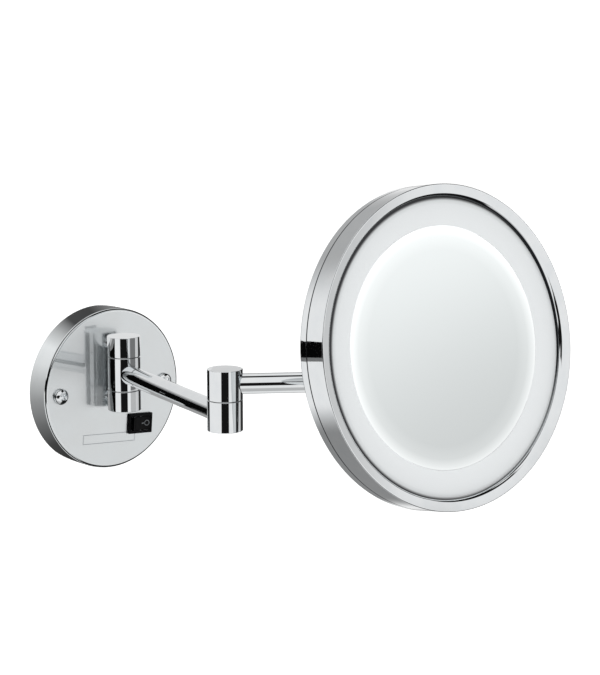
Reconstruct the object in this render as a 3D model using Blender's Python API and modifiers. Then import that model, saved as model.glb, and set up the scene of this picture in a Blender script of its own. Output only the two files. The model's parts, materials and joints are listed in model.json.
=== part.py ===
"""Extendable two-arm shaving mirror with a lit ring, for a bathroom wall.

Metres, +Z up. The wall is the plane y = 0 and the mirror reaches out along -Y.
The origin is the middle of the wall plate's back face.
"""
import math

import bmesh
import bpy
from mathutils import Vector

# ---- driving dimensions (metres) -------------------------------------------
GAP = 0.0003                 # clearance between neighbouring pieces

COVER_RADIUS = 0.0590        # wall plate
COVER_DEPTH = 0.0204
COVER_EDGE = 0.0020
COVER_WALL = 0.0012
BRACKET_RADIUS = 0.0540
BRACKET_THICK = 0.0020
SCREW_OFFSET = 0.0460        # cover screws on the plate's level diameter
SWITCH_X, SWITCH_Z = 0.0234, -0.0290
SWITCH_TURN = math.radians(-4.0)
SWITCH_LONG, SWITCH_HIGH = 0.0210, 0.0150
ROCKER_TILT = math.radians(8.0)

BARREL_RADIUS = 0.0120       # wall hinge and elbow
BARREL_EDGE = 0.0004
BARREL_Y = -0.0350           # wall hinge axis
HINGE_LOW, HINGE_SEAM_LOW, HINGE_SEAM_HIGH, HINGE_HIGH = -0.0132, 0.0018, 0.0264, 0.0413
PIN_RADIUS = 0.0040
LEG_RADIUS = 0.0050

TUBE_RADIUS = 0.0070
TUBE_WALL = 0.0012
LEAD_RADIUS = 0.0016
INNER_ARM_LENGTH = 0.1640    # axis to axis
INNER_ARM_Z = 0.0140
INNER_ARM_ANGLE = math.radians(-11.3)
OUTER_ARM_LENGTH = 0.1224
OUTER_ARM_Z = 0.0350
OUTER_ARM_ANGLE = math.radians(56.0)
ELBOW_LOW, ELBOW_SEAM, ELBOW_HIGH = 0.0035, 0.0245, 0.0454

POST_RADIUS = 0.0110         # head post, behind the mirror
POST_LOW, POST_SEAM, POST_HIGH = 0.0250, 0.0452, 0.0665
TILT_Z = 0.0565
SLOT_FLOOR = 0.0480
SLOT_WIDTH = 0.0106
LUG_RADIUS = 0.0080
LUG_WIDTH = 0.0100
TILT_PIN_RADIUS = 0.0025
HEAD_PAN = math.radians(-1.2)
HEAD_TILT = math.radians(9.3)

HEAD_RADIUS = 0.1077         # mirror head
HEAD_REACH = 0.0457          # tilt axis to the front edge of the ring
HEAD_DEPTH = 0.0244
HEAD_SEAM = 0.0169
BEZEL_RADIUS = 0.0997        # inner edge of the sloping bezel
BEZEL_DROP = 0.0025
GLASS_DROP = 0.0062
GLASS_RADIUS = 0.0807
GLASS_THICK = 0.0040

SMOOTH_ANGLE = math.radians(32.0)


# ---- scene and collections --------------------------------------------------
for old in list(bpy.data.objects):
    bpy.data.objects.remove(old, do_unlink=True)

partsGroup = bpy.data.collections.new("shaving_mirror")
cutterGroup = bpy.data.collections.new("cutters")
for group in (partsGroup, cutterGroup):
    bpy.context.scene.collection.children.link(group)


def make_material(name, colour, metallic, roughness, alpha=1.0):
    mat = bpy.data.materials.new(name)
    mat.use_nodes = True
    shader = mat.node_tree.nodes["Principled BSDF"]
    shader.inputs["Base Color"].default_value = (*colour, 1.0)
    shader.inputs["Metallic"].default_value = metallic
    shader.inputs["Roughness"].default_value = roughness
    shader.inputs["Alpha"].default_value = alpha
    mat.diffuse_color = (*colour, alpha)
    return mat


CHROME = (0.80, 0.81, 0.82), 1.0, 0.06
STEEL = (0.52, 0.53, 0.54), 1.0, 0.35
ZINC = (0.62, 0.63, 0.64), 1.0, 0.28
BRASS = (0.70, 0.52, 0.24), 1.0, 0.30
NYLON = (0.82, 0.81, 0.77), 0.0, 0.50
BLACK = (0.012, 0.012, 0.013), 0.0, 0.38
RUBBER = (0.030, 0.030, 0.032), 0.0, 0.70
MIRROR = (0.90, 0.91, 0.91), 1.0, 0.02
FROSTED = (0.88, 0.89, 0.89), 0.0, 0.55
WHITE = (0.85, 0.85, 0.84), 0.0, 0.45
GREY = (0.30, 0.31, 0.32), 0.0, 0.50


def add_empty(name, place, turn, parent=None):
    frame = bpy.data.objects.new(name, None)
    frame.empty_display_size = 0.02
    frame.location = place
    frame.rotation_euler = turn
    frame.parent = parent
    partsGroup.objects.link(frame)
    return frame


def add_object(name, mesh, parent, look, place=(0, 0, 0), turn=(0, 0, 0)):
    """Link a mesh as one named piece of the mirror, with its own material."""
    piece = bpy.data.objects.new(name, mesh)
    piece.location = place
    piece.rotation_euler = turn
    piece.parent = parent
    if look is None:
        piece.display_type = 'WIRE'
        piece.hide_render = True
        cutterGroup.objects.link(piece)
    else:
        mesh.materials.append(make_material(name, *look))
        partsGroup.objects.link(piece)
    return piece


def smooth(mesh):
    mesh.shade_smooth()
    mesh.set_sharp_from_angle(angle=SMOOTH_ANGLE)


# ---- shapes -----------------------------------------------------------------
def turned(name, profile, parent, look, steps=32, closed=False, **where):
    """Turn a profile of (radius, height) points about local Z.

    The profile runs from the top down the outer side. An open profile starts
    and ends on the axis, a closed one makes a ring.
    """
    mesh = bpy.data.meshes.new(name)
    points = [(radius, 0.0, height) for radius, height in profile]
    edges = [(i, i + 1) for i in range(len(points) - 1)]
    if closed:
        edges.append((len(points) - 1, 0))
    mesh.from_pydata(points, edges, [])
    piece = add_object(name, mesh, parent, look, **where)
    screw = piece.modifiers.new("turn", 'SCREW')
    screw.axis = 'Z'
    screw.angle = math.tau
    screw.steps = steps
    screw.render_steps = steps
    screw.use_merge_vertices = True
    screw.merge_threshold = 1e-6
    screw.use_smooth_shade = True
    if not closed:
        flat = piece.modifiers.new("flat_ends", 'DECIMATE')
        flat.decimate_type = 'DISSOLVE'
        flat.angle_limit = math.radians(0.5)
    return piece


def disc(radius, low, high, edge=0.0):
    """Profile of a round solid with small chamfers of width edge."""
    if edge <= 0.0:
        return [(0, high), (radius, high), (radius, low), (0, low)]
    return [(0, high), (radius - edge, high), (radius, high - edge),
            (radius, low + edge), (radius - edge, low), (0, low)]


def ring(inner, outer, low, high, edge=0.0):
    """Closed profile of a round ring with chamfered outer corners."""
    if edge <= 0.0:
        return [(inner, high), (outer, high), (outer, low), (inner, low)]
    return [(inner, high), (outer - edge, high), (outer, high - edge),
            (outer, low + edge), (outer - edge, low), (inner, low)]


def box(name, size, parent, look, place=(0, 0, 0), turn=(0, 0, 0), edge=0.0, segments=1):
    mesh = bpy.data.meshes.new(name)
    shape = bmesh.new()
    bmesh.ops.create_cube(shape, size=1.0)
    bmesh.ops.scale(shape, vec=Vector(size), verts=shape.verts)
    shape.to_mesh(mesh)
    shape.free()
    piece = add_object(name, mesh, parent, look, place, turn)
    if edge > 0.0:
        bevel = piece.modifiers.new("edges", 'BEVEL')
        bevel.width = edge
        bevel.segments = segments
    return piece


def prism(name, outline, thick, parent, look, place=(0, 0, 0), turn=(0, 0, 0)):
    """Extrude a flat outline of (x, y) points, thick / 2 to each side of z = 0."""
    curve = bpy.data.curves.new(name, 'CURVE')
    curve.dimensions = '2D'
    curve.fill_mode = 'BOTH'
    curve.extrude = thick / 2
    line = curve.splines.new('POLY')
    line.points.add(len(outline) - 1)
    for point, (x, y) in zip(line.points, outline):
        point.co = (x, y, 0.0, 1.0)
    line.use_cyclic_u = True
    return solid_from_curve(name, curve, parent, look, place, turn)


def solid_from_curve(name, curve, parent, look, place, turn):
    """Turn a curve into a welded mesh piece, so that it can be cut."""
    guide = bpy.data.objects.new(name + "_guide", curve)
    cutterGroup.objects.link(guide)
    bpy.context.view_layer.update()
    graph = bpy.context.evaluated_depsgraph_get()
    mesh = bpy.data.meshes.new_from_object(guide.evaluated_get(graph))
    mesh.name = name
    bpy.data.objects.remove(guide, do_unlink=True)
    shape = bmesh.new()
    shape.from_mesh(mesh)
    bmesh.ops.remove_doubles(shape, verts=shape.verts, dist=1e-6)
    bmesh.ops.recalc_face_normals(shape, faces=shape.faces)
    shape.to_mesh(mesh)
    shape.free()
    mesh.materials.clear()
    return add_object(name, mesh, parent, look, place, turn)


def boolean(target, tool, operation='DIFFERENCE'):
    step = target.modifiers.new(tool.name, 'BOOLEAN')
    step.operation = operation
    step.solver = 'EXACT'
    step.object = tool
    return target


def cut(target, *tools):
    for tool in tools:
        boolean(target, tool)
    return target


def join(target, *tools):
    for tool in tools:
        boolean(target, tool, 'UNION')
    return target


def round_tool(name, radius, low, high, parent, steps=24, **where):
    return turned(name, disc(radius, low, high), parent, None, steps=steps, **where)


OUT = (math.pi / 2, 0.0, 0.0)      # turns local +Z to point out of the wall (-Y)
SIDE = (0.0, math.pi / 2, 0.0)     # turns local +Z to point along +X


# ---- frames: one for each rigid body ---------------------------------------
def step_along(start, angle, length):
    return Vector((start.x + length * math.sin(angle), start.y - length * math.cos(angle), 0.0))


hingeAxis = Vector((0.0, BARREL_Y, 0.0))
elbowAxis = step_along(hingeAxis, INNER_ARM_ANGLE, INNER_ARM_LENGTH)
postAxis = step_along(elbowAxis, OUTER_ARM_ANGLE, OUTER_ARM_LENGTH)

wallFrame = add_empty("wall_frame", (0, 0, 0), (0, 0, 0))
innerFrame = add_empty("inner_arm_frame", hingeAxis, (0, 0, INNER_ARM_ANGLE))
outerFrame = add_empty("outer_arm_frame", elbowAxis, (0, 0, OUTER_ARM_ANGLE))
swivelFrame = add_empty("swivel_frame", postAxis, (0, 0, HEAD_PAN))
headFrame = add_empty("head_frame", (postAxis.x, postAxis.y, TILT_Z), (-HEAD_TILT, 0, HEAD_PAN))
rockerFrame = add_empty("rocker_frame", (SWITCH_X, -COVER_DEPTH - 0.0008, SWITCH_Z),
                        (0.0, -SWITCH_TURN, 0.0))


# ---- wall group -------------------------------------------------------------
def build_bracket():
    """Steel disc screwed to the wall; its back face is the mount."""
    bracket = turned("wall_bracket", disc(BRACKET_RADIUS, 0.0, BRACKET_THICK), wallFrame, STEEL,
                     steps=48, turn=OUT)
    for i, (x, z) in enumerate(((-0.032, -0.012), (0.032, -0.012), (0.0, 0.0485))):
        cut(bracket, round_tool("bracket_hole_%d" % (i + 1), 0.0026, -0.001, 0.004, wallFrame,
                                place=(x, 0, z), turn=OUT, steps=16))
    cut(bracket, round_tool("bracket_cable_hole", 0.0060, -0.001, 0.004, wallFrame,
                            place=(-0.024, 0, -0.026), turn=OUT))
    turned("cable_grommet", [(0.0035, 0.0038), (0.0080, 0.0038), (0.0080, 0.0023),
                             (0.0057, 0.0023), (0.0057, 0.0003), (0.0035, 0.0003)],
           wallFrame, RUBBER, steps=24, closed=True, place=(-0.024, 0, -0.026), turn=OUT)


def build_cover():
    """Polished cup over the bracket, with holes for the screws, legs and switch."""
    r, d, e, w = COVER_RADIUS, COVER_DEPTH, COVER_EDGE, COVER_WALL
    outside = [(r - e + e * math.sin(a), d - e + e * math.cos(a)) for a in arc(0, 90, 3)]
    inside = [(r - e + (e - w) * math.sin(a), d - e + (e - w) * math.cos(a)) for a in arc(90, 0, 2)]
    profile = [(0, d)] + outside + [(r, 0), (r - w, 0)] + inside + [(0, d - w)]
    cover = turned("wall_cover", profile, wallFrame, CHROME, steps=72, turn=OUT)
    for side, x in (("left", -SCREW_OFFSET), ("right", SCREW_OFFSET)):
        cut(cover, round_tool("cover_hole_" + side, 0.0028, d - 0.003, d + 0.002, wallFrame,
                              place=(x, 0, 0), turn=OUT, steps=16))
    for level, z in leg_heights():
        cut(cover, round_tool("leg_hole_" + level, LEG_RADIUS + GAP, d - 0.003, d + 0.002,
                              wallFrame, place=(0, 0, z), turn=OUT))
    cut(cover, box("switch_hole", (0.0194, 0.006, 0.0132), wallFrame, None,
                   place=(SWITCH_X, -d, SWITCH_Z), turn=(0, -SWITCH_TURN, 0)))


def arc(start, end, count):
    step = (end - start) / count
    return [math.radians(start + step * i) for i in range(count + 1)]


def leg_heights():
    upper = (HINGE_SEAM_HIGH + HINGE_HIGH) / 2
    lower = (HINGE_LOW + HINGE_SEAM_LOW) / 2
    return (("upper", upper), ("lower", lower))


def build_cover_screws():
    """Pan-head screws with a cross recess, in posts that stand on the bracket."""
    top = COVER_DEPTH + GAP
    head = [(0, 0.0041), (0.0026, 0.0040), (0.0043, 0.0034), (0.0053, 0.0024),
            (0.00575, 0.0010), (0.00575, 0.0)]
    profile = [(r, top + h) for r, h in head]
    profile += [(0.0025, top), (0.0025, 0.0062), (0.0018, 0.0055), (0, 0.0055)]
    for side, x in (("left", -SCREW_OFFSET), ("right", SCREW_OFFSET)):
        screw = turned("cover_screw_" + side, profile, wallFrame, CHROME, steps=24,
                       place=(x, 0, 0), turn=OUT)
        for i in range(2):
            cut(screw, box("recess_%s_%d" % (side, i + 1), (0.0066, 0.0046, 0.0013), wallFrame,
                           None, place=(x, -top - 0.0041, 0),
                           turn=(0, math.radians(38 + 90 * i), 0)))
        turned("cover_post_" + side,
               ring(0.0028, 0.0046, BRACKET_THICK + GAP, COVER_DEPTH - COVER_WALL - GAP),
               wallFrame, ZINC, steps=18, closed=True, place=(x, 0, 0), turn=OUT)


def build_hinge_block():
    """Block inside the plate that the two hinge legs are bolted to."""
    low, high = BRACKET_THICK + GAP, 0.0123
    bottom, top = -0.0140, 0.0420
    block = box("hinge_block", (0.0200, high - low, top - bottom), wallFrame, STEEL,
                place=(0, -(low + high) / 2, (bottom + top) / 2), edge=0.0008)
    for level, z in leg_heights():
        cut(block, round_tool("block_bore_" + level, 0.0028, 0.0, 0.014, wallFrame,
                              place=(0, 0, z), turn=OUT, steps=16))
        cut(block, round_tool("block_pocket_" + level, 0.0050, 0.0, 0.0072, wallFrame,
                              place=(0, 0, z), turn=OUT, steps=20))
        turned("leg_bolt_" + level,
               [(0, 0.0205), (0.0018, 0.0205), (0.0025, 0.0198), (0.0025, 0.0069),
                (0.0045, 0.0069), (0.0045, 0.0029), (0, 0.0029)],
               wallFrame, ZINC, steps=18, place=(0, 0, z), turn=OUT)


def hinge_cap(name, low, high, level, z):
    """Fixed end segment of the wall hinge, with its leg into the plate."""
    cap = turned(name, disc(BARREL_RADIUS, low, high, BARREL_EDGE), wallFrame, CHROME,
                 place=hingeAxis)
    join(cap, round_tool("leg_" + level, LEG_RADIUS, 0.0126, -BARREL_Y, wallFrame,
                         place=(0, 0, z), turn=OUT))
    cut(cap, round_tool("leg_thread_" + level, 0.0028, 0.011, 0.0212, wallFrame,
                        place=(0, 0, z), turn=OUT, steps=16))
    return cap


def build_wall_hinge():
    gap = GAP / 2
    (upper, upperZ), (lower, lowerZ) = leg_heights()
    top = hinge_cap("hinge_cap_upper", HINGE_SEAM_HIGH + gap, HINGE_HIGH, upper, upperZ)
    low = hinge_cap("hinge_cap_lower", HINGE_LOW, HINGE_SEAM_LOW - gap, lower, lowerZ)
    bore = PIN_RADIUS + GAP
    cut(top, round_tool("cap_bore_upper", bore, 0.0, 0.0385, wallFrame, place=hingeAxis))
    cut(top, round_tool("washer_seat_upper", 0.0085, 0.0, HINGE_SEAM_HIGH + 0.0014, wallFrame,
                        place=hingeAxis))
    cut(low, round_tool("cap_bore_lower", bore, -0.02, 0.01, wallFrame, place=hingeAxis))
    cut(low, round_tool("washer_seat_lower", 0.0085, HINGE_SEAM_LOW - 0.0014, 0.01, wallFrame,
                        place=hingeAxis))
    cut(low, round_tool("bolt_seat_lower", 0.0072, -0.02, HINGE_LOW + 0.0030, wallFrame,
                        place=hingeAxis))
    pin_with_head("hinge_bolt", HINGE_LOW + GAP, 0.0382, wallFrame, hingeAxis)
    washer("hinge_washer_upper", HINGE_SEAM_HIGH + gap, HINGE_SEAM_HIGH + 0.0011, wallFrame,
           hingeAxis)
    washer("hinge_washer_lower", HINGE_SEAM_LOW - 0.0011, HINGE_SEAM_LOW - gap, wallFrame,
           hingeAxis)


def pin_with_head(name, low, high, parent, place):
    """Hinge bolt: round head with a hexagon socket below, plain shank above."""
    bolt = turned(name, [(0, high), (PIN_RADIUS - 0.0006, high), (PIN_RADIUS, high - 0.0006),
                         (PIN_RADIUS, low + 0.0024), (0.0068, low + 0.0024),
                         (0.0068, low + 0.0004), (0.0064, low), (0, low)],
                  parent, ZINC, steps=24, place=place)
    tool = turned(name + "_socket", disc(0.0029, low - 0.001, low + 0.0018), parent, None,
                  steps=6, place=place)
    cut(bolt, tool)


def washer(name, low, high, parent, place, outer=0.0082):
    turned(name, ring(PIN_RADIUS + GAP, outer, low, high), parent, NYLON, steps=24, closed=True,
           place=place)


# ---- switch and electrics ---------------------------------------------------
def build_switch():
    """Rocker switch: frame on the plate, body behind it, rocker on a pin."""
    face = COVER_DEPTH + GAP
    turn = (0, -SWITCH_TURN, 0)
    housing = box("switch_housing", (SWITCH_LONG, 0.0020, SWITCH_HIGH), wallFrame, BLACK,
                  place=(SWITCH_X, -face - 0.0010, SWITCH_Z), turn=turn)
    body = box("switch_body", (0.0188, 0.0140, 0.0126), wallFrame, None,
               place=(SWITCH_X, -face + 0.0060, SWITCH_Z), turn=turn)
    join(housing, body)
    cut(housing, box("rocker_pocket", (0.0178, 0.0112, 0.0106), wallFrame, None,
                     place=(SWITCH_X, -face - 0.0006, SWITCH_Z), turn=turn))
    bar = round_tool("pin_bore", 0.0012, -0.0060, 0.0060, rockerFrame, steps=12)
    cut(housing, bar)
    turned("switch_pin", disc(0.0009, -0.0060, 0.0060), rockerFrame, ZINC, steps=12)
    half, lift = 0.0082, 0.0082 * math.tan(ROCKER_TILT)
    outline = [(-half, 0.0015 + lift), (0.0, 0.0015), (half, 0.0015 + lift), (half, -0.0008),
               (0.0062, -0.0036), (-0.0062, -0.0036), (-half, -0.0008)]
    lying = bpy.data.objects.new("rocker_hinge", None)
    lying.parent = rockerFrame
    lying.rotation_euler = (0, 0, ROCKER_TILT)
    partsGroup.objects.link(lying)
    rocker = prism("switch_rocker", outline, 0.0100, lying, BLACK, turn=OUT_PRISM)
    cut(rocker, round_tool("rocker_bore", 0.0012, -0.0070, 0.0070, rockerFrame, steps=12))


OUT_PRISM = (0.0, 0.0, math.pi)    # outline y points out of the wall, extrusion is vertical


def build_electrics():
    """Driver and mains terminals, on the bracket inside the plate."""
    box("led_driver", (0.0240, 0.0130, 0.0320), wallFrame, WHITE,
        place=(-0.0260, -0.0091, 0.0240), edge=0.0008)
    block = box("terminal_block", (0.0240, 0.0120, 0.0160), wallFrame, NYLON,
                place=(0.0280, -0.0086, 0.0200), edge=0.0006)
    for i in range(3):
        cut(block, round_tool("terminal_hole_%d" % (i + 1), 0.0019, 0.0060, 0.0200, wallFrame,
                              place=(0.0204 + 0.0076 * i, 0, 0.0200), turn=OUT, steps=12))


# ---- arms -------------------------------------------------------------------
def socket(target, name, z, parent, sign, reach=0.0065):
    """Blind hole for a tube end; sign -1 opens along the arm, +1 back along it."""
    tool = turned(name, disc(TUBE_RADIUS + GAP, reach, 0.03), parent, None, steps=32,
                  place=(0, 0, z), turn=(-sign * math.pi / 2, 0, 0))
    cut(target, tool)


def tube(name, length, z, parent, inset=0.0068):
    turned(name, ring(TUBE_RADIUS - TUBE_WALL, TUBE_RADIUS, inset, length - inset), parent,
           CHROME, steps=32, closed=True, place=(0, 0, z), turn=OUT)
    lead = name.replace("tube", "lead")
    turned(lead, disc(LEAD_RADIUS, inset + 0.0005, length - inset - 0.0005), parent, WHITE,
           steps=10, place=(0, 0, z), turn=OUT)


def build_inner_arm():
    gap = GAP / 2
    knuckle = turned("inner_arm_knuckle",
                     ring(PIN_RADIUS + GAP, BARREL_RADIUS, HINGE_SEAM_LOW + gap,
                          HINGE_SEAM_HIGH - gap, BARREL_EDGE),
                     innerFrame, CHROME, closed=True)
    socket(knuckle, "knuckle_socket", INNER_ARM_Z, innerFrame, -1)
    tube("inner_arm_tube", INNER_ARM_LENGTH, INNER_ARM_Z, innerFrame)
    end = (0, -INNER_ARM_LENGTH, 0)
    lower = turned("elbow_lower",
                   ring(PIN_RADIUS + GAP, BARREL_RADIUS, ELBOW_LOW, ELBOW_SEAM - gap, BARREL_EDGE),
                   innerFrame, CHROME, closed=True, place=end)
    tool = turned("elbow_lower_socket", disc(TUBE_RADIUS + GAP, 0.0065, 0.03), innerFrame, None,
                  steps=32, place=(0, -INNER_ARM_LENGTH, INNER_ARM_Z), turn=(-math.pi / 2, 0, 0))
    cut(lower, tool)
    cut(lower, round_tool("elbow_bolt_seat", 0.0072, -0.01, ELBOW_LOW + 0.0029, innerFrame,
                          place=end))
    cut(lower, round_tool("elbow_washer_seat", 0.0085, ELBOW_SEAM - 0.0014, 0.03, innerFrame,
                          place=end))
    pin_with_head("elbow_bolt", ELBOW_LOW + GAP, 0.0400, innerFrame, end)
    washer("elbow_washer", ELBOW_SEAM - 0.0011, ELBOW_SEAM - gap, innerFrame, end)


def build_outer_arm():
    gap = GAP / 2
    upper = turned("elbow_upper", disc(BARREL_RADIUS, ELBOW_SEAM + gap, ELBOW_HIGH, BARREL_EDGE),
                   outerFrame, CHROME)
    cut(upper, round_tool("elbow_upper_bore", PIN_RADIUS + GAP, 0.02, 0.0403, outerFrame))
    socket(upper, "elbow_upper_socket", OUTER_ARM_Z, outerFrame, -1)
    tube("outer_arm_tube", OUTER_ARM_LENGTH, OUTER_ARM_Z, outerFrame)
    end = (0, -OUTER_ARM_LENGTH, 0)
    post = turned("head_post", disc(POST_RADIUS, POST_LOW, POST_SEAM - gap, BARREL_EDGE),
                  outerFrame, CHROME, place=end)
    tool = turned("post_socket", disc(TUBE_RADIUS + GAP, 0.0065, 0.03), outerFrame, None,
                  steps=32, place=(0, -OUTER_ARM_LENGTH, OUTER_ARM_Z), turn=(-math.pi / 2, 0, 0))
    cut(post, tool)
    cut(post, round_tool("post_bore", PIN_RADIUS + GAP, 0.0290, 0.06, outerFrame, place=end))
    cut(post, round_tool("post_washer_seat", 0.0085, POST_SEAM - 0.0014, 0.06, outerFrame,
                         place=end))
    turned("swivel_pin", disc(PIN_RADIUS, 0.0293, 0.0476, 0.0005), outerFrame, ZINC, steps=24,
           place=end)
    washer("swivel_washer", POST_SEAM - 0.0011, POST_SEAM - gap, outerFrame, end)


# ---- head mount -------------------------------------------------------------
def build_swivel():
    """Forked knuckle that turns on the post and carries the tilt pin."""
    fork = turned("swivel_fork", disc(POST_RADIUS, POST_SEAM + GAP / 2, POST_HIGH, 0.0012),
                  swivelFrame, CHROME)
    cut(fork, round_tool("fork_bore", PIN_RADIUS + GAP, 0.04, SLOT_FLOOR + 0.001, swivelFrame))
    cut(fork, box("fork_slot", (SLOT_WIDTH, 0.04, 0.03), swivelFrame, None,
                  place=(0, 0, SLOT_FLOOR + 0.015)))
    cut(fork, round_tool("fork_pin_bore", TILT_PIN_RADIUS + GAP, -0.02, 0.02, swivelFrame,
                         place=(0, 0, TILT_Z), turn=SIDE, steps=20))
    turned("tilt_pin", disc(TILT_PIN_RADIUS, -0.0098, 0.0098, 0.0004), swivelFrame, ZINC,
           steps=20, place=(0, 0, TILT_Z), turn=SIDE)


def build_lug():
    """Eye on the tilt pin, with a neck and a round flange for the head."""
    back = HEAD_REACH - HEAD_DEPTH
    lug = turned("tilt_lug", disc(0.0160, back - 0.0030, back - GAP, 0.0004), headFrame, CHROME,
                 turn=OUT)
    eye = turned("lug_eye", disc(LUG_RADIUS, -LUG_WIDTH / 2, LUG_WIDTH / 2), headFrame, None,
                 steps=28, turn=SIDE)
    neck = box("lug_neck", (LUG_WIDTH, back - 0.0010, 0.0080), headFrame, None,
               place=(0, -(back - 0.0010) / 2, 0))
    join(lug, neck, eye)
    cut(lug, round_tool("lug_bore", TILT_PIN_RADIUS + GAP, -0.02, 0.02, headFrame, turn=SIDE,
                        steps=20))
    for i, (x, z) in enumerate(around(3, 0.0118, 90)):
        cut(lug, round_tool("lug_hole_%d" % (i + 1), 0.0018, 0.01, 0.03, headFrame,
                            place=(x, 0, z), turn=OUT, steps=12))


def around(count, radius, first=0.0):
    spots = []
    for i in range(count):
        angle = math.radians(first) + math.tau * i / count
        spots.append((radius * math.cos(angle), radius * math.sin(angle)))
    return spots


# ---- mirror head ------------------------------------------------------------
def depth(value):
    """Distance from the tilt axis of a plane that lies value behind the front edge."""
    return HEAD_REACH - value


def build_head_shells():
    r = HEAD_RADIUS
    front = [(BEZEL_RADIUS, depth(BEZEL_DROP)), (r - 0.0004, depth(0.0)), (r, depth(0.0004)),
             (r, depth(HEAD_SEAM - GAP / 2)), (r - 0.0014, depth(HEAD_SEAM - GAP / 2)),
             (r - 0.0014, depth(0.0018)), (BEZEL_RADIUS + 0.0014, depth(BEZEL_DROP + 0.0014)),
             (BEZEL_RADIUS + 0.0014, depth(GLASS_DROP - GAP)),
             (BEZEL_RADIUS, depth(GLASS_DROP - GAP))]
    turned("front_ring", front, headFrame, CHROME, steps=80, closed=True, turn=OUT)
    edge = [(r - 0.0015 + 0.0015 * math.cos(a), depth(HEAD_DEPTH - 0.0015 + 0.0015 * math.sin(a)))
            for a in arc(0, 90, 2)]
    wall = 0.0014
    rear = [(0, depth(HEAD_DEPTH - wall)), (r - 0.0016, depth(HEAD_DEPTH - wall)),
            (r - wall, depth(HEAD_DEPTH - 0.0020)), (r - wall, depth(HEAD_SEAM + GAP / 2)),
            (r, depth(HEAD_SEAM + GAP / 2))] + edge + [(0, depth(HEAD_DEPTH))]
    shell = turned("rear_shell", rear, headFrame, CHROME, steps=80, turn=OUT)
    spots = around(3, 0.0118, 90) + around(3, 0.0900, 30)
    for i, (x, z) in enumerate(spots):
        cut(shell, round_tool("shell_hole_%d" % (i + 1), 0.0018, 0.01, 0.03, headFrame,
                              place=(x, 0, z), turn=OUT, steps=12))


def build_optics():
    """Mirror glass, frosted light ring and what they stand on."""
    glass = depth(GLASS_DROP)
    turned("mirror_glass", disc(GLASS_RADIUS, glass - GLASS_THICK, glass, 0.0003), headFrame,
           MIRROR, steps=60, turn=OUT)
    turned("light_diffuser", ring(GLASS_RADIUS + GAP, 0.1040, glass - 0.0030, glass), headFrame,
           FROSTED, steps=60, closed=True, turn=OUT)
    floor = depth(0.0162)
    rim = glass - 0.0033
    turned("light_tray", [(0.0823, rim), (0.0835, rim), (0.0835, floor + 0.0012),
                          (0.1028, floor + 0.0012), (0.1028, rim), (0.1040, rim),
                          (0.1040, floor), (0.0823, floor)],
           headFrame, WHITE, steps=48, closed=True, turn=OUT)
    turned("led_board", ring(0.0860, 0.1000, floor + 0.0015, floor + 0.0027), headFrame, WHITE,
           steps=48, closed=True, turn=OUT)
    turned("backing_plate", disc(0.0790, floor, glass - GLASS_THICK - GAP), headFrame, GREY,
           steps=36, turn=OUT)
    turned("head_chassis", disc(0.1052, depth(0.0181), depth(0.0165)), headFrame, STEEL,
           steps=48, turn=OUT)
    turned("mount_plate", disc(0.0180, depth(0.0226), depth(0.0192)), headFrame, STEEL, steps=30,
           turn=OUT)


def build_head_screws():
    """Three screws through the flange and three through the rear shell."""
    back = HEAD_REACH - HEAD_DEPTH
    for i, (x, z) in enumerate(around(3, 0.0118, 90)):
        pan_screw("flange_screw_%d" % (i + 1), back - 0.0033, back + 0.0042, x, z)
        cut(bpy.data.objects["mount_plate"],
            round_tool("mount_hole_%d" % (i + 1), 0.0018, 0.01, 0.04, headFrame,
                       place=(x, 0, z), turn=OUT, steps=12))
    for i, (x, z) in enumerate(around(3, 0.0900, 30)):
        pan_screw("shell_screw_%d" % (i + 1), back - GAP, back + 0.0070, x, z)
        cut(bpy.data.objects["head_chassis"],
            round_tool("chassis_hole_%d" % (i + 1), 0.0018, 0.01, 0.0285, headFrame,
                       place=(x, 0, z), turn=OUT, steps=12))


def pan_screw(name, seat, tip, x, z):
    """Small pan-head screw; its head stands behind seat and its tip points forward."""
    profile = [(0, tip), (0.0010, tip), (0.0015, tip - 0.0005), (0.0015, seat), (0.0029, seat),
               (0.0029, seat - 0.0011), (0.0022, seat - 0.0018), (0, seat - 0.0020)]
    turned(name, profile, headFrame, ZINC, steps=12, place=(x, 0, z), turn=OUT)


build_bracket()
build_cover()
build_cover_screws()
build_hinge_block()
build_wall_hinge()
build_switch()
build_electrics()
build_inner_arm()
build_outer_arm()
build_swivel()
build_lug()
build_head_shells()
build_optics()
build_head_screws()
for piece in partsGroup.objects:
    if piece.type == 'MESH':
        smooth(piece.data)
bpy.context.view_layer.update()
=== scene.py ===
# Extendable shaving mirror with a lit ring: the visible model over its CAD frame
import json
import math

import bmesh
import bpy
from mathutils import Matrix, Vector


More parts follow.
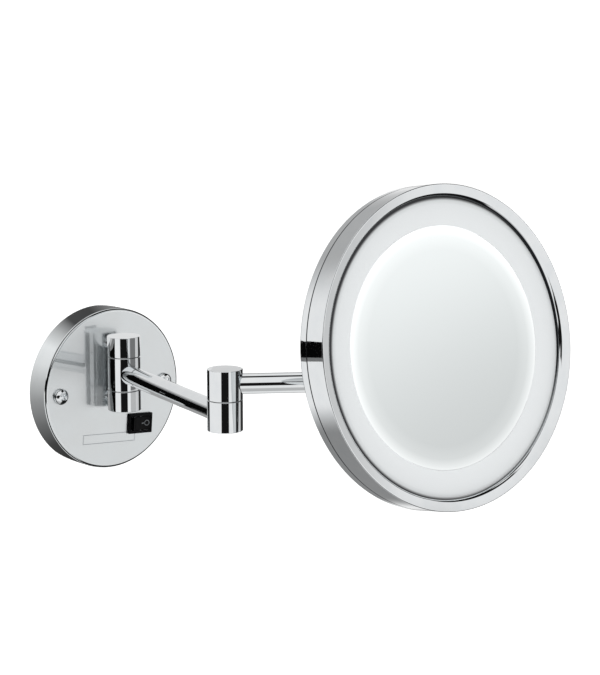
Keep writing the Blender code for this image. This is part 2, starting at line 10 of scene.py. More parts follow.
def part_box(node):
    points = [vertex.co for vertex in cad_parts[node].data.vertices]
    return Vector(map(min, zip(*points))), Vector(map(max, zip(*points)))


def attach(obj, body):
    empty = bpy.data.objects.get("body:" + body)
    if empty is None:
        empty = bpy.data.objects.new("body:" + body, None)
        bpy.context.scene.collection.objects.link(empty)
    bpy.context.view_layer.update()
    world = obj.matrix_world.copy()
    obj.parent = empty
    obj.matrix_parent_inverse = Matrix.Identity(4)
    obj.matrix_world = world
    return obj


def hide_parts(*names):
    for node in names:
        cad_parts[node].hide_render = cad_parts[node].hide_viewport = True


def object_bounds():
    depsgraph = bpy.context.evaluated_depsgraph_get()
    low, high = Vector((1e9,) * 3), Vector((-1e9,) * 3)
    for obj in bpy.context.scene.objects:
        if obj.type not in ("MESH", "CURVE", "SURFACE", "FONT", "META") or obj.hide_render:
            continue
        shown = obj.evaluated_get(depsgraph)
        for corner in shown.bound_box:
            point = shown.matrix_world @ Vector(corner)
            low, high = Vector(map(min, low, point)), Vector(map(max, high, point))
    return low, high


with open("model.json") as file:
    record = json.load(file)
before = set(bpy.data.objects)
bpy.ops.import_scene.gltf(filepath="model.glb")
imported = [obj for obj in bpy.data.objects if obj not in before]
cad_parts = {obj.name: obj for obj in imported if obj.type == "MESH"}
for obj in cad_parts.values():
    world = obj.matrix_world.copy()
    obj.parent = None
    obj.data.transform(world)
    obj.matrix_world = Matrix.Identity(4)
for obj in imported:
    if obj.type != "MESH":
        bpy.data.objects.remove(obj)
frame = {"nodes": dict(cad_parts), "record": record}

cadBox = [list(corner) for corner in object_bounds()]
nodes = frame["nodes"]
joints = {joint["name"]: joint for joint in frame["record"]["behaviour"]["joints"]}
mm = 0.001
weld = 1e-7                    # points nearer than this are one point
near = 2e-6                    # how closely a ring of points has to match its place
toolEdge = 0.01 * mm           # edge of a shape that only cuts
beyond = 2.0 * mm              # how far a cutting shape reaches past the surface it opens
print("frame loaded:", len(nodes), "nodes")


def jointPlace(name):
    return Vector(joints[name]["pos_m"])


def boxCentre(node):
    low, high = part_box(node)
    return (Vector(low) + Vector(high)) / 2


def measure(node, origin, axis):
    # lowest and highest point along the axis, and the widest radius about it
    heights, radii = [], []
    for vertex in nodes[node].data.vertices:
        offset = vertex.co - origin
        height = offset.dot(axis)
        heights.append(height)
        radii.append((offset - axis * height).length)
    return min(heights), max(heights), max(radii)


def makeFrame(origin, axis, side):
    # local Z runs along the axis and local X along the side direction
    z = axis.normalized()
    x = (side - z * side.dot(z)).normalized()
    place = Matrix((x, z.cross(x), z)).transposed().to_4x4()
    place.translation = origin
    return place


up = Vector((0, 0, 1))
right = Vector((1, 0, 0))
outward = Vector((0, -1, 0))
hingePlace = jointPlace("inner_arm_swing")
elbowPlace = jointPlace("outer_arm_swing")
postPlace = jointPlace("head_swivel")
tiltPlace = jointPlace("head_tilt")
innerAlong = (elbowPlace - hingePlace) * Vector((1, 1, 0))
outerAlong = (postPlace - elbowPlace) * Vector((1, 1, 0))
headAxis = (boxCentre("mirror_glass") - tiltPlace).normalized()
headSide = -Vector(joints["head_tilt"]["axis"])
headFrame = makeFrame(tiltPlace, headAxis, headSide)
wallFrame = makeFrame(Vector((0, 0, 0)), outward, right)


def toLight(value):
    # screen value, 0 to 1, to the amount of light it stands for
    return value / 12.92 if value <= 0.04045 else ((value + 0.055) / 1.055) ** 2.4


def toLinear(hexColour):
    return [toLight(int(hexColour[i:i + 2], 16) / 255) for i in (1, 3, 5)] + [1.0]


def addNode(tree, kind, inputs=None, **settings):
    # an input is a value, or the output of another node
    node = tree.nodes.new(kind)
    for name, value in settings.items():
        setattr(node, name, value)
    for key, value in (inputs or {}).items():
        if isinstance(value, bpy.types.NodeSocket):
            tree.links.new(value, node.inputs[key])
        else:
            node.inputs[key].default_value = value
    return node


def startMaterial(name, colour, metallic, roughness, **sockets):
    material = bpy.data.materials.new(name)
    material.use_nodes = True
    tree = material.node_tree
    shader = tree.nodes["Principled BSDF"]
    shader.inputs["Base Color"].default_value = toLinear(colour)
    shader.inputs["Metallic"].default_value = metallic
    shader.inputs["Roughness"].default_value = roughness
    for socket, value in sockets.items():
        shader.inputs[socket.replace("_", " ")].default_value = value
    material.diffuse_color = toLinear(colour)
    return material, tree, shader


def setRamp(node, stops):
    ramp = node.color_ramp
    while len(ramp.elements) < len(stops):
        ramp.elements.new(0.5)
    for element, (position, value) in zip(ramp.elements, stops):
        element.position = position
        element.color = value if isinstance(value, (list, tuple)) else (value, value, value, 1)


noiseLook = {"rough": 0.55, "low": 0.35, "high": 0.65, "darkAt": 0.3, "lightAt": 0.7}


def varyRoughness(tree, shader, source, low, high):
    # most of a noise's values lie between the two ends of this range
    gloss = addNode(tree, "ShaderNodeMapRange", {
        "Value": source, "From Min": noiseLook["low"], "From Max": noiseLook["high"],
        "To Min": low, "To Max": high})
    tree.links.new(gloss.outputs["Result"], shader.inputs["Roughness"])
    return gloss


def varyColour(tree, shader, source, dark, light):
    ramp = addNode(tree, "ShaderNodeValToRGB", {"Fac": source})
    setRamp(ramp, [(noiseLook["darkAt"], toLinear(dark)), (noiseLook["lightAt"], toLinear(light))])
    tree.links.new(ramp.outputs["Color"], shader.inputs["Base Color"])


def addBump(tree, shader, height, depth, strength):
    bump = addNode(tree, "ShaderNodeBump", {"Height": height, "Distance": depth,
                                            "Strength": strength})
    tree.links.new(bump.outputs["Normal"], shader.inputs["Normal"])


def makeChrome(name, look):
    # bright chrome plate, buffed: a cool mirror whose faint wipe marks soften some highlights
    material, tree, shader = startMaterial(name, look["light"], 1.0, look["roughLow"])
    place = addNode(tree, "ShaderNodeTexCoord")
    wipe = addNode(tree, "ShaderNodeTexNoise", {
        "Vector": place.outputs["Object"], "Scale": 1 / look["wipe"], "Detail": 3.0,
        "Roughness": noiseLook["rough"]})
    varyRoughness(tree, shader, wipe.outputs["Fac"], look["roughLow"], look["roughHigh"])
    varyColour(tree, shader, wipe.outputs["Fac"], look["dark"], look["light"])
    return material


chromeLook = {"light": "#E8EAEB", "dark": "#E2E5E7", "roughLow": 0.02, "roughHigh": 0.05,
              "wipe": 9.0 * mm}
polishedChrome = makeChrome("polished chrome plate", chromeLook)
screwChrome = makeChrome("chrome-plated screw", dict(chromeLook, roughLow=0.06, roughHigh=0.12))


def localCoordinates(tree, frameMatrix):
    # place on a piece, seen from a frame of its own
    place = addNode(tree, "ShaderNodeTexCoord")
    local = addNode(tree, "ShaderNodeMapping",
                    {"Vector": place.outputs["Object"], "Location": frameMatrix.translation,
                     "Rotation": frameMatrix.to_euler()}, vector_type='TEXTURE')
    return local.outputs["Vector"]


def distanceFrom(tree, local, centre=(0, 0, 0)):
    # distance from the local Z axis, or from a line beside it
    offset = addNode(tree, "ShaderNodeVectorMath", {0: local, 1: centre}, operation='SUBTRACT')
    flat = addNode(tree, "ShaderNodeVectorMath", {0: offset.outputs["Vector"], 1: (1, 1, 0)},
                   operation='MULTIPLY')
    away = addNode(tree, "ShaderNodeVectorMath", {0: flat.outputs["Vector"]},
                   operation='LENGTH')
    return away.outputs["Value"]


plateLook = {"light": "#D1D5D6", "dark": "#CBD0D2", "roughLow": 0.30, "roughHigh": 0.36,
             "wipe": 16.0 * mm, "roughRim": 0.04, "faceRadius": 57.0 * mm, "rimSoft": 0.3 * mm,
             "coatIndex": 2.7, "coatRough": 0.03}


def makePlateChrome(name, look):
    # chrome with a satin face: an even pale grey with a clear but faint mirror image on top;
    # the rim and the side are buffed bright
    material, tree, shader = startMaterial(name, look["light"], 1.0, look["roughLow"])
    local = localCoordinates(tree, wallFrame)
    wipe = addNode(tree, "ShaderNodeTexNoise", {
        "Vector": local, "Scale": 1 / look["wipe"], "Detail": 3.0,
        "Roughness": noiseLook["rough"]})
    varyColour(tree, shader, wipe.outputs["Fac"], look["dark"], look["light"])
    satin = varyRoughness(tree, shader, wipe.outputs["Fac"], look["roughLow"], look["roughHigh"])
    rim = addNode(tree, "ShaderNodeMapRange", {
        "Value": distanceFrom(tree, local), "From Min": look["faceRadius"] - look["rimSoft"],
        "From Max": look["faceRadius"] + look["rimSoft"]})
    gloss = addNode(tree, "ShaderNodeMix", {0: rim.outputs["Result"], 2: satin.outputs["Result"],
                                            3: look["roughRim"]})
    tree.links.new(gloss.outputs[0], shader.inputs["Roughness"])
    shader.inputs["Coat Weight"].default_value = 1.0
    shader.inputs["Coat IOR"].default_value = look["coatIndex"]
    shader.inputs["Coat Roughness"].default_value = look["coatRough"]
    return material


plateChrome = makePlateChrome("satin chrome plate", plateLook)


def makeHeadChromeWithPaintedShade(name, look, lipRadius, seamHeight, rimSum):
    # bright chrome with painted shade: the base colour darkens to fine dark lines in the joint
    # between the shells, under the ring's turned-in lip and along the ring's outer edge
    material = makeChrome(name, look)
    tree = material.node_tree
    shader = tree.nodes["Principled BSDF"]
    local = localCoordinates(tree, headFrame)
    part = addNode(tree, "ShaderNodeSeparateXYZ", {0: local})
    offset = addNode(tree, "ShaderNodeMath", {0: part.outputs["Z"], 1: seamHeight},
                     operation='SUBTRACT')
    gap = addNode(tree, "ShaderNodeMath", {0: offset.outputs[0]}, operation='ABSOLUTE')
    joint = addNode(tree, "ShaderNodeMapRange", {
        "Value": gap.outputs[0], "From Min": look["seamShadeHalf"] - look["seamShadeSoft"],
        "From Max": look["seamShadeHalf"] + look["seamShadeSoft"]})
    away = distanceFrom(tree, local, look["lipShadeShift"])
    lip = addNode(tree, "ShaderNodeMapRange", {
        "Value": away, "From Min": lipRadius + look["lipShadeWidth"],
        "From Max": lipRadius + look["lipShadeWidth"] + look["lipShadeSoft"]})
    total = addNode(tree, "ShaderNodeMath", {0: distanceFrom(tree, local),
                                             1: part.outputs["Z"]}, operation='ADD')
    rim = addNode(tree, "ShaderNodeMapRange", {
        "Value": total.outputs[0], "From Min": rimSum - look["rimShadeLine"] - look["rimSoft"],
        "From Max": rimSum - look["rimShadeLine"] + look["rimSoft"], "To Min": 1.0, "To Max": 0.0})
    inner = addNode(tree, "ShaderNodeMath", {0: lip.outputs["Result"],
                                             1: rim.outputs["Result"]}, operation='MINIMUM')
    clear = addNode(tree, "ShaderNodeMath", {0: joint.outputs["Result"],
                                             1: inner.outputs[0]}, operation='MINIMUM')
    # painted shade: the seam, lip and rim masks mix the base colour towards the dark line colour
    colour = shader.inputs["Base Color"].links[0].from_socket
    lines = addNode(tree, "ShaderNodeMix", {0: clear.outputs[0], 6: toLinear(look["line"]),
                                            7: colour}, data_type='RGBA')
    tree.links.new(lines.outputs[2], shader.inputs["Base Color"])
    return material


steelLook = {"stretch": (0.15, 1.0, 1.0), "smoother": 0.08, "rougher": 0.12, "depth": 0.01 * mm,
             "strength": 0.4}


def makeSteel(name, light, dark, grain, roughness, look=steelLook):
    # plated or rolled steel: dull grey with a fine grain along one way
    material, tree, shader = startMaterial(name, light, 1.0, roughness)
    place = addNode(tree, "ShaderNodeTexCoord")
    stretch = addNode(tree, "ShaderNodeMapping", {"Vector": place.outputs["Object"],
                                                  "Scale": look["stretch"]})
    lines = addNode(tree, "ShaderNodeTexNoise", {
        "Vector": stretch.outputs["Vector"], "Scale": 1 / grain, "Detail": 5.0,
        "Roughness": noiseLook["rough"]})
    varyRoughness(tree, shader, lines.outputs["Fac"], roughness - look["smoother"],
                  roughness + look["rougher"])
    varyColour(tree, shader, lines.outputs["Fac"], dark, light)
    addBump(tree, shader, lines.outputs["Fac"], look["depth"], look["strength"])
    return material


zincSteel = makeSteel("zinc-plated steel", "#A9ABAD", "#8E9092", 0.35 * mm, 0.32)
screwSteel = makeSteel("nickel-plated screw steel", "#C9CBCD", "#A9ACAF", 0.2 * mm, 0.18)
millAluminium = makeSteel("mill-finish aluminium", "#C3C5C7", "#ABAEB0", 0.5 * mm, 0.34)
etchedChrome = makeSteel("etched chrome line", "#B4B8BB", "#9EA2A6", 0.15 * mm, 0.45)


plasticLook = {"broad": 30, "smoother": 0.05, "rougher": 0.06, "strength": 0.6}


def makePlastic(name, light, dark, roughness, grain, depth, look=plasticLook, **sockets):
    # moulded plastic: even colour with the fine spark-eroded texture of its mould
    material, tree, shader = startMaterial(name, light, 0.0, roughness, **sockets)
    place = addNode(tree, "ShaderNodeTexCoord")
    texture, broad = [addNode(tree, "ShaderNodeTexNoise", {
        "Vector": place.outputs["Object"], "Scale": 1 / size, "Detail": detail,
        "Roughness": noiseLook["rough"]})
        for size, detail in ((grain, 4.0), (grain * look["broad"], 2.0))]
    varyRoughness(tree, shader, broad.outputs["Fac"], roughness - look["smoother"],
                  roughness + look["rougher"])
    varyColour(tree, shader, broad.outputs["Fac"], dark, light)
    addBump(tree, shader, texture.outputs["Fac"], depth, look["strength"])
    return material


blackNylon = makePlastic("moulded black nylon", "#060608", "#030304", 0.34, 0.22 * mm, 0.01 * mm,
                         Specular_IOR_Level=0.08)
markInk = makePlastic("grey pad-printed ink", "#6E7174", "#626568", 0.55, 0.15 * mm, 0.003 * mm)
whitePolycarbonate = makePlastic("white moulded polycarbonate", "#E6E7E6", "#DCDDDC", 0.42,
                                 0.30 * mm, 0.008 * mm)
naturalNylon = makePlastic("natural nylon", "#DAD6CA", "#CCC8BB", 0.48, 0.25 * mm, 0.010 * mm)
backingBoard = makePlastic("grey pressed backing board", "#5C5E60", "#4C4E50", 0.70, 0.5 * mm,
                           0.030 * mm)
blackRubber = makePlastic("black moulded rubber", "#1A1A1C", "#111113", 0.72, 0.4 * mm, 0.02 * mm)
leadSheath = makePlastic("white silicone lead sheath", "#E2E0DA", "#D3D1CB", 0.50, 0.3 * mm,
                         0.010 * mm)
boardMask = makePlastic("white solder mask on a circuit board", "#EFEFEA", "#E2E2DC", 0.30,
                        0.6 * mm, 0.005 * mm)


def makeGlow(tree, shader, radius, widest, strength, stops):
    # light that varies with the distance from the head's axis
    share = addNode(tree, "ShaderNodeMath", {0: radius, 1: widest}, operation='DIVIDE')
    ramp = addNode(tree, "ShaderNodeValToRGB", {"Fac": share.outputs["Value"]})
    setRamp(ramp, stops)
    tree.links.new(ramp.outputs["Color"], shader.inputs["Emission Color"])
    shader.inputs["Emission Strength"].default_value = strength


# glow and glowStops paint light into the mirror: emission that rises towards its rim
glassLook = {"tint": "#DDE1E1", "roughLow": 0.010, "roughHigh": 0.030, "haze": 22 * mm,
             "glow": 0.30,
             "glowStops": [(0.0, 0.0), (0.80, 0.0), (0.91, 0.22), (0.97, 0.7), (1.0, 1.0)]}


def makeMirror(name, look, widest):
    # silvered float glass: a clean cool mirror with a painted glow at its rim, standing in for the
    # light of the ring beside it
    material, tree, shader = startMaterial(name, look["tint"], 1.0, look["roughLow"])
    local = localCoordinates(tree, headFrame)
    haze = addNode(tree, "ShaderNodeTexNoise", {
        "Vector": local, "Scale": 1 / look["haze"], "Detail": 3.0,
        "Roughness": noiseLook["rough"]})
    varyRoughness(tree, shader, haze.outputs["Fac"], look["roughLow"], look["roughHigh"])
    # painted light: the glass emits more towards its rim
    makeGlow(tree, shader, distanceFrom(tree, local), widest, look["glow"], look["glowStops"])
    return material


frostLook = {"light": "#C9CDCE", "dark": "#C2C6C8", "rough": 0.50, "roughSpan": 0.08,
             "grain": 0.25 * mm, "depth": 0.01 * mm, "strength": 0.5, "glow": 0.30,
             "glowStops": [(0.0, 1.0), (0.80, 1.0), (0.915, 0.92), (0.940, 0.60), (0.958, 0.0)],
             "shade": "#1E2024", "shadeShift": (3.0 * mm, -0.8 * mm, 0), "shadeStart": 97.4 * mm,
             "shadeEnd": 99.4 * mm, "widest": 104 * mm}


def makeFrost(name, look):
    # sand-blasted acrylic with the lamps behind it: a soft even white glow that dies away
    # in the shadow under the ring's lip
    material, tree, shader = startMaterial(name, look["light"], 0.0, look["rough"])
    local = localCoordinates(tree, headFrame)
    grain = addNode(tree, "ShaderNodeTexNoise", {
        "Vector": local, "Scale": 1 / look["grain"], "Detail": 3.0,
        "Roughness": noiseLook["rough"]})
    varyColour(tree, shader, grain.outputs["Fac"], look["dark"], look["light"])
    varyRoughness(tree, shader, grain.outputs["Fac"], look["rough"] - look["roughSpan"],
                  look["rough"] + look["roughSpan"])
    addBump(tree, shader, grain.outputs["Fac"], look["depth"], look["strength"])
    away = distanceFrom(tree, local, look["shadeShift"])
    makeGlow(tree, shader, away, look["widest"], look["glow"], look["glowStops"])
    shade = addNode(tree, "ShaderNodeMapRange", {
        "Value": away, "From Min": look["shadeStart"],
        "From Max": look["shadeEnd"]}, interpolation_type='SMOOTHSTEP')
    colour = shader.inputs["Base Color"].links[0].from_socket
    shaded = addNode(tree, "ShaderNodeMix", {0: shade.outputs["Result"], 6: colour,
                                             7: toLinear(look["shade"])}, data_type='RGBA')
    tree.links.new(shaded.outputs[2], shader.inputs["Base Color"])
    return material


print("materials ready for the fixed pieces")


def turnOutline(outline, steps=96, ring=False):
    # spins a line of (radius, height) points about Z; a ring's outline closes on itself
    shape = bmesh.new()
    points = [shape.verts.new((radius, 0, height)) for radius, height in outline]
    edges = [shape.edges.new(pair) for pair in zip(points, points[1:])]
    if ring:
        edges.append(shape.edges.new((points[-1], points[0])))
    bmesh.ops.spin(shape, geom=points + edges, cent=(0, 0, 0), axis=(0, 0, 1), dvec=(0, 0, 0),
                   angle=math.tau, steps=steps, use_merge=True, use_duplicate=False)
    bmesh.ops.remove_doubles(shape, verts=shape.verts, dist=weld)
    bmesh.ops.recalc_face_normals(shape, faces=shape.faces)
    return shape


def roundRing(shape, radius, height, width, segments=4):
    # rounds the circular edge that lies at this radius and height
    def lies(vertex):
        across = math.hypot(vertex.co.x, vertex.co.y)
        return abs(across - radius) < near and abs(vertex.co.z - height) < near
    edges = [e for e in shape.edges if lies(e.verts[0]) and lies(e.verts[1])]
    bmesh.ops.bevel(shape, geom=edges, offset=width, offset_type='OFFSET', affect='EDGES',
                    segments=segments, profile=0.5, material=-1, clamp_overlap=True)


def drum(radius, low, high, edge, steps=96, segments=4):
    # round solid with softened rims
    shape = turnOutline([(0, high), (radius, high), (radius, low), (0, low)], steps)
    roundRing(shape, radius, high, edge, segments)
    roundRing(shape, radius, low, edge, segments)
    return shape


def sleeve(inner, outer, low, high, edge, steps=96, segments=4):
    # round ring with softened outer rims
    shape = turnOutline([(inner, high), (outer, high), (outer, low), (inner, low)], steps, True)
    roundRing(shape, outer, high, edge, segments)
    roundRing(shape, outer, low, edge, segments)
    return shape


def block(size, edge=0.0, segments=3):
    shape = bmesh.new()
    bmesh.ops.create_cube(shape, size=1.0)
    bmesh.ops.scale(shape, vec=Vector(size), verts=shape.verts)
    if edge > 0:
        bmesh.ops.bevel(shape, geom=list(shape.edges), offset=edge, offset_type='OFFSET',
                        affect='EDGES', segments=segments, profile=0.5, material=-1)
    return shape


def shift(shape, offset):
    bmesh.ops.translate(shape, vec=Vector(offset), verts=shape.verts)
    return shape


def turn(shape, angle, axis='Z'):
    bmesh.ops.rotate(shape, cent=(0, 0, 0), matrix=Matrix.Rotation(angle, 3, axis),
                     verts=shape.verts)
    return shape


def toObject(shape, name, place):
    bmesh.ops.transform(shape, matrix=place, verts=shape.verts)
    mesh = bpy.data.meshes.new(name)
    shape.to_mesh(mesh)
    shape.free()
    piece = bpy.data.objects.new(name, mesh)
    bpy.context.scene.collection.objects.link(piece)
    return piece


def carve(piece, shape, place, operation='DIFFERENCE'):
    # cuts one shape out of a piece, or joins it on, and keeps the result as its mesh
    tool = toObject(shape, piece.name + "_tool", place)
    step = piece.modifiers.new("cut", 'BOOLEAN')
    step.operation = operation
    step.solver = 'EXACT'
    step.object = tool
    graph = bpy.context.evaluated_depsgraph_get()
    graph.update()
    mesh = bpy.data.meshes.new_from_object(piece.evaluated_get(graph))
    piece.modifiers.remove(step)
    old = piece.data
    piece.data = mesh
    bpy.data.meshes.remove(old)
    bpy.data.objects.remove(tool, do_unlink=True)
    return piece


def finishPiece(piece, material, body, replaced=(), angle=32):
    mesh = piece.data
    mesh.materials.clear()
    mesh.materials.append(material)
    mesh.shade_smooth()
    mesh.set_sharp_from_angle(angle=math.radians(angle))
    weighted = piece.modifiers.new("even normals", 'WEIGHTED_NORMAL')
    weighted.keep_sharp = True
    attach(piece, body)
    if replaced:
        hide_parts(*replaced)
    return piece


coverLook = {"edge": 2.0 * mm, "rearEdge": 0.25 * mm, "wall": 1.2 * mm, "legHole": 5.15 * mm}
etchLook = {"wide": 46.3 * mm, "high": 7.1 * mm, "x": -4.0 * mm, "z": -36.5 * mm, "turn": -4.0,
            "line": 0.45 * mm, "thick": 0.03 * mm, "lift": 0.02 * mm}


def buildCover(look):
    low, high, radius = measure("wall_cover", Vector((0, 0, 0)), outward)
    wall = look["wall"]
    outline = [(0, high), (radius, high), (radius, low), (radius - wall, low),
               (radius - wall, high - wall), (0, high - wall)]
    shape = turnOutline(outline, 160)
    roundRing(shape, radius, high, look["edge"], 8)
    roundRing(shape, radius - wall, high - wall, look["edge"] - wall, 3)
    roundRing(shape, radius, low, look["rearEdge"], 2)
    cover = toObject(shape, "wallCover", wallFrame)
    for node in ("hinge_cap_upper", "hinge_cap_lower"):
        hole = drum(look["legHole"], high - 2 * beyond, high + beyond, toolEdge, 48, 1)
        carve(cover, shift(hole, (0, legHeight(node), 0)), wallFrame)
    finishPiece(cover, plateChrome, "wall_group", ("wall_cover",))
    return high


def legHeight(node):
    # height of a hinge cap's leg: the middle of its part nearest the wall
    points = [vertex.co for vertex in nodes[node].data.vertices]
    deepest = max(point.y for point in points)
    ends = [point.z for point in points if point.y > deepest - 0.1 * mm]
    return (min(ends) + max(ends)) / 2


coverFace = buildCover(coverLook)


def buildEtchedFrame(look, face):
    # fine etched rectangle on the plate, left blank
    wide, high, line = look["wide"], look["high"], look["line"]
    piece = toObject(block((wide, high, look["thick"])), "etchedFrame", Matrix())
    carve(piece, block((wide - 2 * line, high - 2 * line, 1 * mm)), Matrix())
    place = wallFrame @ Matrix.Translation((look["x"], look["z"], face + look["lift"]))
    piece.data.transform(place @ Matrix.Rotation(math.radians(look["turn"]), 4, 'Z'))
    finishPiece(piece, etchedChrome, "wall_group")


buildEtchedFrame(etchLook, coverFace)

screwLook = {"rise": 4.1 * mm, "brim": 0.9 * mm, "dome": 0.85, "shank": 2.5 * mm,
             "recess": 3.1 * mm, "slot": 1.25 * mm, "slotDeep": 2.2 * mm,
             "slotEdge": 0.12 * mm, "coneWide": 2.2 * mm, "coneDeep": 2.9 * mm, "turn": 38.0}


def buildCoverScrew(node, look):
    centre = boxCentre(node)
    place = makeFrame(Vector((centre.x, 0, centre.z)), outward, right)
    low, high, radius = measure(node, Vector((centre.x, 0, centre.z)), outward)
    seat = high - look["rise"]
    shank, brim = look["shank"], look["brim"]
    outline = [(0, high)]
    for i in range(1, 9):                       # domed pan head, fuller than a sphere
        angle = math.radians(90 * i / 8)
        outline.append((radius * math.sin(angle) ** look["dome"],
                        seat + brim + (look["rise"] - brim) * math.cos(angle)))
    outline += [(radius, seat), (shank, seat), (shank, low), (0, low)]
    shape = turnOutline(outline, 64)
    screw = toObject(shape, node.replace("_", "") + "Head", place)
    for quarter in (0, 90):
        tool = block((2 * look["recess"], look["slot"], 2 * look["slotDeep"]),
                     look["slotEdge"], 2)
        shift(tool, (0, 0, high))
        turn(tool, math.radians(look["turn"] + quarter))
        carve(screw, tool, place)
    cone = turnOutline([(0, high + 1 * mm), (look["coneWide"], high + 1 * mm),
                        (0, high - look["coneDeep"])], 4)
    turn(cone, math.radians(look["turn"]))
    carve(screw, cone, place)
    finishPiece(screw, screwChrome, "wall_group", (node,))


for screwNode in ("cover_screw_left", "cover_screw_right"):
    buildCoverScrew(screwNode, screwLook)
print("wall plate ready")


hingeLook = {"edge": 0.35 * mm, "socket": 7.12 * mm, "socketStart": 6.5 * mm,
             "socketEnd": 40.0 * mm, "pin": 4.3 * mm, "leg": 5.0 * mm, "legStart": 14.0 * mm,
             "legEnd": 34.0 * mm, "legEdge": 0.1 * mm, "seat": 7.2 * mm, "seatDeep": 2.9 * mm,
             "capSeatDeep": 3.0 * mm, "washerEdge": 0.1 * mm}
armLook = {"wall": 1.2 * mm, "edge": 0.15 * mm, "elbowBoreEnd": 40.3 * mm,
           "postBoreStart": 29.0 * mm}
boltLook = {"shank": 4.0 * mm, "head": 2.4 * mm, "edge": 0.4 * mm, "hex": 2.9 * mm,
            "hexDeep": 1.8 * mm}
through = (-0.1, 0.1)          # ends of a bore that runs right through


def upright(place):
    # frame on a hinge's axis, at height zero
    return makeFrame(Vector((place.x, place.y, 0)), up, right)


def buildCap(node, look):
    # fixed end of the wall hinge, with the leg that enters the plate
    points = [vertex.co for vertex in nodes[node].data.vertices]
    low, high = min(point.z for point in points), max(point.z for point in points)
    radius = max(point.x for point in points)
    cap = toObject(drum(radius, low, high, look["edge"]), camel(node), upright(hingePlace))
    leg = drum(look["leg"], look["legStart"], look["legEnd"], look["legEdge"], 48, 1)
    carve(cap, shift(leg, (0, legHeight(node), 0)), wallFrame, 'UNION')
    return cap, low


def camel(node):
    words = node.split("_")
    return words[0] + "".join(word.capitalize() for word in words[1:])


def buildWallHinge(look):
    upper = buildCap("hinge_cap_upper", look)[0]
    finishPiece(upper, polishedChrome, "wall_group", ("hinge_cap_upper",))
    lower, low = buildCap("hinge_cap_lower", look)
    seat = drum(look["seat"], low - beyond, low + look["capSeatDeep"], toolEdge, 64, 1)
    carve(lower, seat, upright(hingePlace))
    finishPiece(lower, polishedChrome, "wall_group", ("hinge_cap_lower",))
    buildBolt("hinge_bolt", hingePlace, "wall_group", boltLook)


def buildBolt(node, place, body, look):
    # bolt with a hexagon socket in its head
    base = Vector((place.x, place.y, 0))
    low, high, radius = measure(node, base, up)
    shank, seat = look["shank"], low + look["head"]
    outline = [(0, high), (shank, high), (shank, seat), (radius, seat), (radius, low), (0, low)]
    shape = turnOutline(outline, 64)
    roundRing(shape, radius, low, look["edge"], 3)
    bolt = toObject(shape, camel(node), upright(place))
    floor, mouth = low + look["hexDeep"], low - 1 * mm
    socket = turnOutline([(0, floor), (look["hex"], floor), (look["hex"], mouth), (0, mouth)], 6)
    carve(bolt, socket, upright(place))
    finishPiece(bolt, screwSteel, body, (node,))


def buildSegment(node, place, body, look, along, arm=None, seat=False, pin=None):
    # one turning drum of a hinge, with the socket its tube enters, the seat of a bolt's head
    # and the bore of its pin, from one height to another
    base = Vector((place.x, place.y, 0))
    low, high, radius = measure(node, base, up)
    drumPiece = toObject(drum(radius, low, high, look["edge"]), camel(node), upright(place))
    if arm:
        middle = boxCentre(arm).z
        socket = drum(look["socket"], look["socketStart"], look["socketEnd"], toolEdge, 64, 1)
        carve(drumPiece, socket, makeFrame(Vector((place.x, place.y, middle)), along, up))
    if seat:
        hollow = drum(look["seat"], low - beyond, low + look["seatDeep"], toolEdge, 64, 1)
        carve(drumPiece, hollow, upright(place))
    if pin:
        bore = drum(look["pin"], pin[0], pin[1], toolEdge, 48, 1)
        carve(drumPiece, bore, upright(place))
    finishPiece(drumPiece, polishedChrome, body, (node,))


buildWallHinge(hingeLook)
buildSegment("inner_arm_knuckle", hingePlace, "inner_arm", hingeLook, innerAlong,
             "inner_arm_tube", pin=through)
buildSegment("elbow_lower", elbowPlace, "inner_arm", hingeLook, -innerAlong,
             "inner_arm_tube", seat=True, pin=through)
buildSegment("elbow_upper", elbowPlace, "outer_arm", hingeLook, outerAlong,
             "outer_arm_tube", pin=(0.0, armLook["elbowBoreEnd"]))
buildSegment("head_post", postPlace, "outer_arm", hingeLook, -outerAlong,
             "outer_arm_tube", pin=(armLook["postBoreStart"], through[1]))
buildBolt("elbow_bolt", elbowPlace, "inner_arm", boltLook)


def buildTube(node, place, along, body, look):
    origin = Vector((place.x, place.y, boxCentre(node).z))
    low, high, radius = measure(node, origin, along.normalized())
    shape = sleeve(radius - look["wall"], radius, low, high, look["edge"], 96, 2)
    tube = toObject(shape, camel(node), makeFrame(origin, along, up))
    finishPiece(tube, polishedChrome, body, (node,))


buildTube("inner_arm_tube", hingePlace, innerAlong, "inner_arm", armLook)
buildTube("outer_arm_tube", elbowPlace, outerAlong, "outer_arm", armLook)


def buildWasher(node, place, body, look):
    base = Vector((place.x, place.y, 0))
    low, high, radius = measure(node, base, up)
    shape = sleeve(look["pin"], radius, low, high, look["washerEdge"], 48, 2)
    finishPiece(toObject(shape, camel(node), upright(place)), naturalNylon, body, (node,))


for washerNode, washerPlace, washerBody in (("hinge_washer_upper", hingePlace, "wall_group"),
                                            ("hinge_washer_lower", hingePlace, "wall_group"),
                                            ("elbow_washer", elbowPlace, "inner_arm"),
                                            ("swivel_washer", postPlace, "outer_arm")):
    buildWasher(washerNode, washerPlace, washerBody, hingeLook)
print("hinges and tubes ready")


mountLook = {"topEdge": 1.6 * mm, "lowEdge": 0.35 * mm, "slot": 10.6 * mm, "slotDeep": 30.0 * mm,
             "slotEdge": 0.6 * mm, "floor": 48.0 * mm, "pin": 2.5 * mm, "pinHalf": 10.2 * mm,
             "pinEdge": 0.4 * mm, "pinHole": 2.7 * mm, "eye": 8.0 * mm, "eyeEdge": 0.6 * mm,
             "lug": 10.0 * mm, "neck": 8.0 * mm, "neckEdge": 0.8 * mm, "neckSunk": 1.0 * mm,
             "flange": 2.7 * mm, "flangeEdge": 0.5 * mm, "across": 20.0 * mm}


